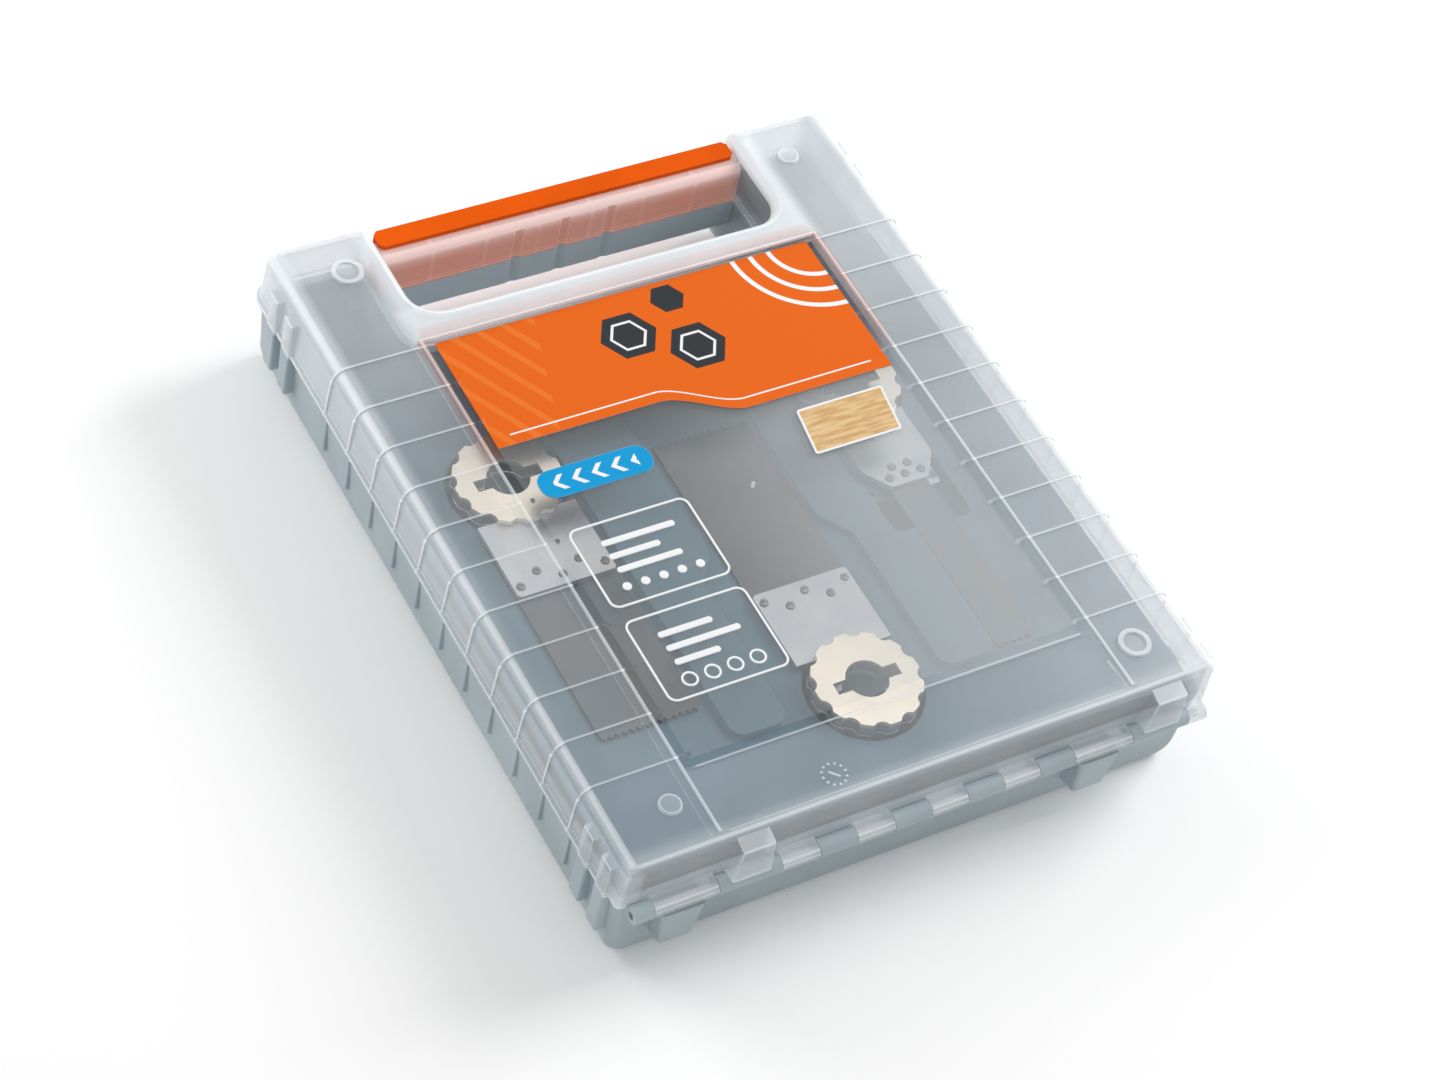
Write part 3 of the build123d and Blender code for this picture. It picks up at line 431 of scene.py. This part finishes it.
def printed_card(name, inks):
    """Clear film with generic print: a stepped band, hexagons, arcs, a tag, a patch and two frames."""
    material, tree, shader, place = start_material(name)
    x, y, z = axes(place)

    def edge(distance):
        """1 inside a shape given its signed distance in millimetres."""
        return 1 - distance.rise(-PRINT_SOFT, PRINT_SOFT)

    def box(cx, cy, half_w, half_h, corner=0.0, slant=0.0):
        """Signed distance to a rounded box, its sides slanted by slant."""
        dx = abs(x - cx - (y - cy) * slant) - (half_w - corner)
        dy = abs(y - cy) - (half_h - corner)
        inside = dx.high(dy).low(0.0)
        return length(dx.high(0.0), dy.high(0.0)) + inside - corner

    def circle(cx, cy, radius):
        return length(x - cx, y - cy) - radius

    def hexagon(cx, cy, radius):
        dx, dy = abs(x - cx), abs(y - cy)
        return (dx * 0.866 + dy * 0.5).high(dy) - radius

    def line(distance, half):
        return edge(abs(distance) - half)

    def either(*masks):
        result = masks[0]
        for mask in masks[1:]:
            result = result.high(mask)
        return result

    band_low = BAND_Y - BAND_STEP * x.rise(*BAND_STEP_X)
    band = edge(band_low - y)
    band_line = line(y - band_low - 4.0, 0.3) * edge(abs(x) - 64.0)
    stripes = edge(abs(((x + y * 0.55) % STRIPE_PITCH) - STRIPE_PITCH / 2) - STRIPE_HALF)
    stripes = stripes * edge(x + 34.0 + (CORNER[1] - y) * 0.3)
    arcs = either(*(line(circle(*CORNER, radius), 0.9) for radius in ARC_RADII))
    hexes = either(*(edge(hexagon(*place_size)) for place_size in HEXAGONS))
    hex_lines = either(*(line(hexagon(*place_size), 0.45) for place_size in HEXAGON_LINES))
    patch_shape = box(*PATCH)
    patch = edge(patch_shape)
    tag = edge(box(*TAG, *TAG_SIZE))
    arrows = abs(((x - abs(y - TAG[1])) % CHEVRON_PITCH) - CHEVRON_PITCH / 2) - 1.0
    chevrons = edge(arrows) * edge(box(*TAG, *CHEVRON_SIZE))
    frames = either(*(line(box(*middle, *FRAME_SIZE), 0.35) for middle in FRAMES))
    bars = either(*(edge(box(ROWS_X + half, cy, half, 1.1, 1.0)) for cy, half in BARS))
    dots_y, dot_pitch, dot_radius, dot_count = DOTS
    dots = either(*(edge(circle(ROWS_X + dot_pitch * i, dots_y, dot_radius)) for i in range(dot_count)))
    rings_x, rings_y, ring_pitch, ring_radius, ring_count = RINGS
    rings = either(*(line(circle(rings_x + ring_pitch * i, rings_y, ring_radius), 0.35)
                     for i in range(ring_count)))

    white = dimmed(either(band_line, arcs * band, hex_lines, chevrons * tag, frames, bars, dots, rings,
                          line(patch_shape, 0.4)))
    grain = noise(stretched(place, (0.25, 1.6, 1.0)), 2.2, 3.0).rise(0.35, 0.65)
    colour = mix_colour(band, inks["film"], inks["orange"])
    colour = mix_colour(stripes * band, colour, inks["light_orange"])
    colour = mix_colour(hexes * band, colour, inks["dark"])
    colour = mix_colour(patch, colour, mix_colour(grain, inks["tan"], inks["light_tan"]))
    colour = mix_colour(tag, colour, inks["blue"])
    colour = mix_colour(white, colour, inks["white"])
    feed(shader, "Base Color", colour)
    printed = dimmed(either(band, patch, tag, white))
    feed(shader, "Alpha", 0.05 + 0.94 * printed)
    feed(shader, "Roughness", 0.18 + 0.14 * printed)
    shader.inputs["Specular IOR Level"].default_value = 0.15
    return material


# ---- meshes ----------------------------------------------------------------------------------------
def clean_copy(node, name, bevel=0.0):
    """A merged copy of a CAD node with flat faces in one piece, softened edges and smooth rounds."""
    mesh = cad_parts[node].data.copy()
    mesh.name = name
    mesh.materials.clear()
    work = bmesh.new()
    work.from_mesh(mesh)
    bmesh.ops.remove_doubles(work, verts=work.verts, dist=MERGE_DISTANCE)
    bmesh.ops.dissolve_limit(work, angle_limit=FLAT_ANGLE, verts=work.verts, edges=work.edges)
    for face in work.faces:
        face.smooth = True
    for seam in work.edges:
        if len(seam.link_faces) == 2:
            seam.smooth = seam.calc_face_angle() < SHARP_ANGLE
    work.to_mesh(mesh)
    work.free()
    piece = bpy.data.objects.new(name, mesh)
    bpy.context.scene.collection.objects.link(piece)
    if bevel:
        soft = piece.modifiers.new("soft_edges", "BEVEL")
        soft.width = bevel * MM
        soft.segments = 2
        soft.limit_method = "ANGLE"
        soft.angle_limit = SHARP_ANGLE
        soft.harden_normals = False
    even = piece.modifiers.new("even_shading", "WEIGHTED_NORMAL")
    even.keep_sharp = True
    even.weight = 100
    return bake_modifiers(piece)


def bake_modifiers(piece):
    """Turns a piece with modifiers into a plain mesh."""
    depsgraph = bpy.context.evaluated_depsgraph_get()
    made = bpy.data.meshes.new_from_object(piece.evaluated_get(depsgraph))
    old = piece.data
    piece.modifiers.clear()
    piece.data = made
    made.name = piece.name
    bpy.data.meshes.remove(old)
    return piece


def dress(node, name, material, body, bevel=0.0):
    """Puts a clean, finished copy in the place of a CAD node; bevel is in millimetres."""
    piece = clean_copy(node, name, bevel)
    piece.data.materials.append(material)
    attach(piece, body)
    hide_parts(node)
    return piece


def lift_underside(piece, low, high, height):
    """Raises the lower half of a flat piece that lies between low and high."""
    middle = (low.z + high.z) / 2
    for vertex in piece.data.vertices:
        if vertex.co.z < middle:
            vertex.co.z += height


# ---- repeated details ------------------------------------------------------------------------------
def repeat_on_points(name, points, material, sizes, shape):
    """Puts a small shape on each point with Geometry Nodes and gives the result as a plain mesh piece.

    sizes names the tree's inputs and their values in metres; shape builds the node for one of them.
    """
    mesh = bpy.data.meshes.new(name + "_points")
    mesh.from_pydata(points, [], [])
    piece = bpy.data.objects.new(name, mesh)
    bpy.context.scene.collection.objects.link(piece)
    tree = bpy.data.node_groups.new(name + "_tree", "GeometryNodeTree")
    tree.interface.new_socket("Geometry", in_out="INPUT", socket_type="NodeSocketGeometry")
    finish = tree.interface.new_socket("Finish", in_out="INPUT", socket_type="NodeSocketMaterial")
    sockets = {label: tree.interface.new_socket(label, in_out="INPUT", socket_type="NodeSocketFloat")
               for label in sizes}
    tree.interface.new_socket("Geometry", in_out="OUTPUT", socket_type="NodeSocketGeometry")
    given = tree.nodes.new("NodeGroupInput")
    wires = {label: Wire(tree, given.outputs[label]) for label in ("Geometry", "Finish", *sizes)}
    one = shape(tree, wires)
    spread = Wire.node(tree, "GeometryNodeInstanceOnPoints",
                       inputs={"Points": wires["Geometry"], "Instance": one})
    solid = Wire.node(tree, "GeometryNodeRealizeInstances", inputs={"Geometry": spread})
    done = Wire.node(tree, "GeometryNodeSetMaterial",
                     inputs={"Geometry": solid, "Material": wires["Finish"]})
    result = tree.nodes.new("NodeGroupOutput")
    tree.links.new(done.socket, result.inputs["Geometry"])
    repeat = piece.modifiers.new("repeat", "NODES")
    repeat.node_group = tree
    repeat[finish.identifier] = material
    for label, socket in sockets.items():
        repeat[socket.identifier] = sizes[label]
    bake_modifiers(piece)
    for face in piece.data.polygons:
        face.use_smooth = True
    return piece


def low_dome(tree, wires):
    """A flat-topped round bead that stands on its point."""
    return Wire.node(tree, "GeometryNodeMeshCone", {"fill_type": "NGON"}, {
        "Vertices": 14, "Side Segments": 1, "Radius Bottom": wires["Radius"],
        "Radius Top": wires["Radius"] * 0.62, "Depth": wires["Height"]})


def weld_points():
    """The floors of the weld spots: three near a tongue's end and two behind them on each mount."""
    points = []
    for blade in BLADES:
        low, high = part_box(blade + "_mount")
        plate_low, plate_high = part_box(blade + "_plate")
        middle = (low.x + high.x) / 2
        span = WELD_SPAN * (plate_high.x - plate_low.x)
        forward = plate_low.y + plate_high.y > low.y + high.y
        for from_end, places in WELD_ROWS:
            y = high.y - from_end * MM if forward else low.y + from_end * MM
            points += [(middle + place * span, y, low.z + WELD_FLOOR * MM) for place in places]
    return points


def dial_points():
    """A ring of pips and a slanted row of them for the pointer."""
    x, y, reach = DIAL
    turns = [math.tau * i / DIAL_PIPS for i in range(DIAL_PIPS)]
    points = [(x + reach * math.sin(turn), y + reach * math.cos(turn)) for turn in turns]
    steps = [POINTER_REACH * (2 * i / (POINTER_PIPS - 1) - 1) for i in range(POINTER_PIPS)]
    points += [(x + step, y - step) for step in steps]
    return [(px * MM, (py + HINGE_WALL_Y) * MM, CASE_TOP * MM) for px, py in points]


# ---- settings --------------------------------------------------------------------------------------
def colour_setting(name, description, default):
    """A linear colour."""
    return FloatVectorProperty(name=name, description=description, subtype="COLOR", size=3, min=0.0,
                               max=1.0, default=default)


def size_setting(name, description, default):
    """A small length in metres."""
    return FloatProperty(name=name, description=description, default=default, min=0.00001, unit="LENGTH")


def power_setting(name, description, default):
    """A lamp's power in watts."""
    return FloatProperty(name=name, description=description, default=default, min=0.0, unit="POWER")


class CaseFinish(bpy.types.PropertyGroup):
    """Colours and finishes of the moulded and metal pieces."""
    base_colour: colour_setting("Base colour", "Colour of the base shell", (0.40, 0.475, 0.51))
    tray_colour: colour_setting("Tray colour", "Colour of the blade tray", (0.105, 0.182, 0.230))
    clip_colour: colour_setting("Clip colour", "Colour of the latch clip", (0.78, 0.100, 0.002))
    lid_colour: colour_setting("Lid colour", "Colour of the milky lid", (0.87, 0.915, 0.95))
    # painted light: the lid's tint and glow where the clip and the print would shine in it
    lid_glow: colour_setting("Lid glow", "Tint of the lid where the clip and the print shine in it",
                             (0.96, 0.42, 0.30))
    lid_haze: FloatProperty(name="Lid haze", description="How much one face of the lid hides", default=0.13,
                            min=0.0, max=1.0, subtype="FACTOR")
    window_haze: FloatProperty(name="Window haze", description="The same, over the card", default=0.04,
                               min=0.0, max=1.0, subtype="FACTOR")
    plate_colour: colour_setting("Blade plate", "Colour of the blade plates", (0.105, 0.121, 0.135))
    mount_colour: colour_setting("Blade mount", "Colour of the star mounts", (0.47, 0.49, 0.515))


class CasePrint(bpy.types.PropertyGroup):
    """Inks of the card in the lid."""
    orange: colour_setting("Band", "Ink of the broad band", (0.80, 0.135, 0.006))
    light_orange: colour_setting("Stripes", "Ink of the stripes on the band", (0.84, 0.185, 0.022))
    dark: colour_setting("Hexagons", "Ink of the hexagons", (0.03, 0.035, 0.04))
    blue: colour_setting("Tag", "Ink of the rounded tag", (0.005, 0.33, 0.68))
    tan: colour_setting("Patch", "Darker grain of the patch", (0.62, 0.38, 0.16))
    light_tan: colour_setting("Patch light", "Lighter grain of the patch", (0.78, 0.56, 0.30))
    white: colour_setting("Lines", "Ink of lines, bars and dots", (0.90, 0.91, 0.92))
    film: colour_setting("Film", "The bare film", (0.80, 0.84, 0.86))


class CaseDetail(bpy.types.PropertyGroup):
    """Sizes of the small repeated details."""
    weld_colour: colour_setting("Weld", "Colour of the burnt weld beads", (0.20, 0.19, 0.18))
    weld_radius: size_setting("Weld radius", "Radius of one weld bead", 0.00145)
    weld_height: size_setting("Weld height", "Height of one weld bead", 0.00025)
    pip_radius: size_setting("Pip radius", "Radius of a pip of the dial", 0.0005)
    pip_height: size_setting("Pip height", "Height of a pip of the dial", 0.00018)


class CaseStage(bpy.types.PropertyGroup):
    """Floor, light and camera."""
    floor_colour: colour_setting("Floor", "Colour of the floor", (0.92, 0.92, 0.92))
    floor_lift: FloatProperty(name="Floor lift", description="White added to the floor as cameras see it",
                              default=0.04, min=0.0, max=1.0, subtype="FACTOR")
    key_power: power_setting("Key light", "Power of the broad lamp at the right", 17.0)
    fill_power: power_setting("Fill light", "Power of the lamp at the back left", 3.4)
    front_power: power_setting("Front light", "Power of the lamp in front", 1.5)
    world_strength: FloatProperty(name="Sky", description="Strength of the even light", default=0.50,
                                  min=0.0)
    lens: FloatProperty(name="Lens", description="Focal length in millimetres", default=88.26, min=1.0)


# ---- operators -------------------------------------------------------------------------------------
class CASE_OT_base(bpy.types.Operator):
    """Dress the grey base shell"""
    bl_idname = "case.base"
    bl_label = "Base shell"

    def execute(self, context):
        finish = context.scene.case_finish
        material = moulded_plastic("grey_moulding", tuple(finish.base_colour), 0.42, painted_bar_light=1.3)
        dress("base_shell", "base_moulding", material, "base")
        return {"FINISHED"}


class CASE_OT_lid(bpy.types.Operator):
    """Dress the milky lid"""
    bl_idname = "case.lid"
    bl_label = "Lid"

    def execute(self, context):
        finish = context.scene.case_finish
        material = frosted_lid("milky_lid", tuple(finish.lid_colour), tuple(finish.lid_glow),
                               finish.lid_haze, finish.window_haze)
        dress("lid_shell", "lid_moulding", material, "lid")
        return {"FINISHED"}


class CASE_OT_clip(bpy.types.Operator):
    """Dress the orange latch clip"""
    bl_idname = "case.clip"
    bl_label = "Latch clip"

    def execute(self, context):
        finish = context.scene.case_finish
        material = moulded_plastic("orange_moulding", tuple(finish.clip_colour), 0.45, grain_depth=0.006,
                                   grain_size=0.6, sheen=0.05)
        dress("latch_clip", "clip_moulding", material, "latch", 0.35)
        return {"FINISHED"}


class CASE_OT_pins(bpy.types.Operator):
    """Dress the hinge and latch pins"""
    bl_idname = "case.pins"
    bl_label = "Pins"

    def execute(self, context):
        material = steel("drawn_wire", *WIRE_COLOURS, roughness=0.30, streak=0.4)
        for node in ("hinge_pin_left", "hinge_pin_right", "latch_pin"):
            dress(node, node + "_wire", material, "base", 0.2)
        return {"FINISHED"}


class CASE_OT_card(bpy.types.Operator):
    """Print the card in the lid"""
    bl_idname = "case.card"
    bl_label = "Printed card"

    def execute(self, context):
        inks = context.scene.case_print
        names = ("orange", "light_orange", "dark", "blue", "tan", "light_tan", "white", "film")
        material = printed_card("printed_film", {name: tuple(getattr(inks, name)) for name in names})
        card = dress("label_card", "card_film", material, "lid")
        lift_underside(card, CARD_LOW, CARD_HIGH, CARD_LIFT)
        return {"FINISHED"}


class CASE_OT_tray(bpy.types.Operator):
    """Dress the formed blade tray"""
    bl_idname = "case.tray"
    bl_label = "Blade tray"

    def execute(self, context):
        finish = context.scene.case_finish
        material = moulded_plastic("tray_sheet", tuple(finish.tray_colour), 0.5, grain_depth=0.03,
                                   grain_size=0.8)
        dress("blade_tray", "tray_moulding", material, "base", 0.4)
        return {"FINISHED"}


class CASE_OT_blades(bpy.types.Operator):
    """Dress the blade plates and star mounts"""
    bl_idname = "case.blades"
    bl_label = "Blades"

    def execute(self, context):
        finish = context.scene.case_finish
        tempered = steel("tempered_plate", tuple(finish.plate_colour), PLATE_TINT, roughness=0.42,
                         streak=0.5, patch=30.0)
        stamped = steel("stamped_mount", tuple(finish.mount_colour), MOUNT_GLINT_TINT, roughness=0.38,
                        streak=0.7, patch=11.0, glint_above=RAISED_STEEL)
        for blade in BLADES:
            dress(blade + "_plate", blade + "_plate_steel", tempered, "base", 0.06)
            dress(blade + "_mount", blade + "_mount_steel", stamped, "base", 0.15)
        return {"FINISHED"}


class CASE_OT_welds(bpy.types.Operator):
    """Make the dark weld beads on the mounts' tongues"""
    bl_idname = "case.welds"
    bl_label = "Weld spots"

    def execute(self, context):
        detail = context.scene.case_detail
        burnt = steel("burnt_weld", tuple(detail.weld_colour), WELD_TINT, roughness=0.42, streak=0.6)
        piece = repeat_on_points("weld_spots", weld_points(), burnt,
                                 {"Radius": detail.weld_radius, "Height": detail.weld_height}, low_dome)
        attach(piece, "base")
        return {"FINISHED"}


class CASE_OT_dial(bpy.types.Operator):
    """Make the moulder's dial: a ring of pips and its pointer on the lid's strip"""
    bl_idname = "case.dial"
    bl_label = "Moulder's dial"

    def execute(self, context):
        detail = context.scene.case_detail
        milky = moulded_plastic("milky_lid_detail", tuple(context.scene.case_finish.lid_colour), 0.3,
                                grain_depth=0.002, grain_size=0.3)
        milky.node_tree.nodes["Principled BSDF"].inputs["Alpha"].default_value = 0.6
        piece = repeat_on_points("moulding_dial", dial_points(), milky,
                                 {"Radius": detail.pip_radius, "Height": detail.pip_height}, low_dome)
        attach(piece, "lid")
        return {"FINISHED"}


class CASE_OT_stage(bpy.types.Operator):
    """Make the floor, the light and the camera"""
    bl_idname = "case.stage"
    bl_label = "Stage"

    def execute(self, context):
        scene, stage = context.scene, context.scene.case_stage
        scene.view_settings.view_transform = "Standard"
        make_floor(tuple(stage.floor_colour), stage.floor_lift)
        make_world(scene, stage.world_strength)
        for name, setting, place, size in LAMPS:
            area_lamp(name, place, size, getattr(stage, setting))
        make_camera(scene, stage.lens)
        return {"FINISHED"}


class CASE_PT_panel(bpy.types.Panel):
    """Lists the case's pieces"""
    bl_idname = "CASE_PT_panel"
    bl_label = "Blade Case"
    bl_space_type = "VIEW_3D"
    bl_region_type = "UI"
    bl_category = "Blade Case"

    def draw(self, context):
        for operator in OPERATORS:
            self.layout.operator(operator.bl_idname)


# ---- stage -----------------------------------------------------------------------------------------
def seen_directly(tree):
    """1 for what cameras and mirrors see, 0 for the light that falls on things."""
    path = Wire.node(tree, "ShaderNodeLightPath", output="Is Camera Ray")
    return path.high(path.other("Is Glossy Ray")).high(path.other("Is Transmission Ray"))


def make_floor(colour, lift):
    """A wide pale floor that cameras and mirrors see as white, most of all far from the case."""
    mesh = bpy.data.meshes.new("floor")
    reach = FLOOR_HALF
    corners = [(-reach, -reach, 0.0), (reach, -reach, 0.0), (reach, reach, 0.0), (-reach, reach, 0.0)]
    mesh.from_pydata(corners, [], [(0, 1, 2, 3)])
    floor = bpy.data.objects.new("floor", mesh)
    bpy.context.scene.collection.objects.link(floor)
    floor.location.z = CAD_BOX[0].z
    material, tree, shader, place = start_material("pale_floor")
    seen = seen_directly(tree)
    x, y, z = axes(place)
    white = mix_colour(length(x, y).rise(*FAR_FLOOR), (lift,) * 3, (FAR_LIFT,) * 3)
    feed(shader, "Base Color", mix_colour(seen, colour, WHITE))
    feed(shader, "Emission Color", mix_colour(seen, BLACK, white))
    shader.inputs["Emission Strength"].default_value = 1.0
    shader.inputs["Roughness"].default_value = 0.9
    shader.inputs["Specular IOR Level"].default_value = 0.0
    mesh.materials.append(material)


def make_world(scene, strength):
    """Even light, which cameras and mirrors see as white."""
    world = bpy.data.worlds.new("even_light")
    world.use_nodes = True
    scene.world = world
    tree = world.node_tree
    background = tree.nodes["Background"]
    feed(background, "Strength", strength + (1.0 - strength) * seen_directly(tree))
    background.inputs["Color"].default_value = (*WHITE, 1.0)


def area_lamp(name, place, size, power):
    """A square lamp that faces the case."""
    data = bpy.data.lights.new(name, "AREA")
    data.size = size
    data.energy = power
    lamp = bpy.data.objects.new(name, data)
    bpy.context.scene.collection.objects.link(lamp)
    lamp.location = place
    lamp.rotation_mode = "QUATERNION"
    lamp.rotation_quaternion = (-lamp.location).to_track_quat("-Z", "Y")


def make_camera(scene, lens):
    """The camera, from the front left and above."""
    data = bpy.data.cameras.new("camera")
    data.lens = lens
    camera = bpy.data.objects.new("camera", data)
    scene.collection.objects.link(camera)
    camera.location = CAMERA_PLACE
    camera.rotation_euler = [math.radians(angle) for angle in CAMERA_TURN]
    scene.camera = camera


# ---- add-on ----------------------------------------------------------------------------------------
GROUPS = {"case_finish": CaseFinish, "case_print": CasePrint, "case_detail": CaseDetail,
          "case_stage": CaseStage}
OPERATORS = (CASE_OT_base, CASE_OT_tray, CASE_OT_blades, CASE_OT_welds, CASE_OT_pins, CASE_OT_lid,
             CASE_OT_dial, CASE_OT_card, CASE_OT_clip, CASE_OT_stage)


def register():
    for kind in (*GROUPS.values(), *OPERATORS, CASE_PT_panel):
        bpy.utils.register_class(kind)
    for name, group in GROUPS.items():
        setattr(bpy.types.Scene, name, PointerProperty(type=group))


def unregister():
    for name in GROUPS:
        delattr(bpy.types.Scene, name)
    for kind in reversed((*GROUPS.values(), *OPERATORS, CASE_PT_panel)):
        bpy.utils.unregister_class(kind)


def main():
    register()
    for operator in OPERATORS:
        getattr(bpy.ops.case, operator.bl_idname.split(".")[1])()


if __name__ == "__main__":
    main()
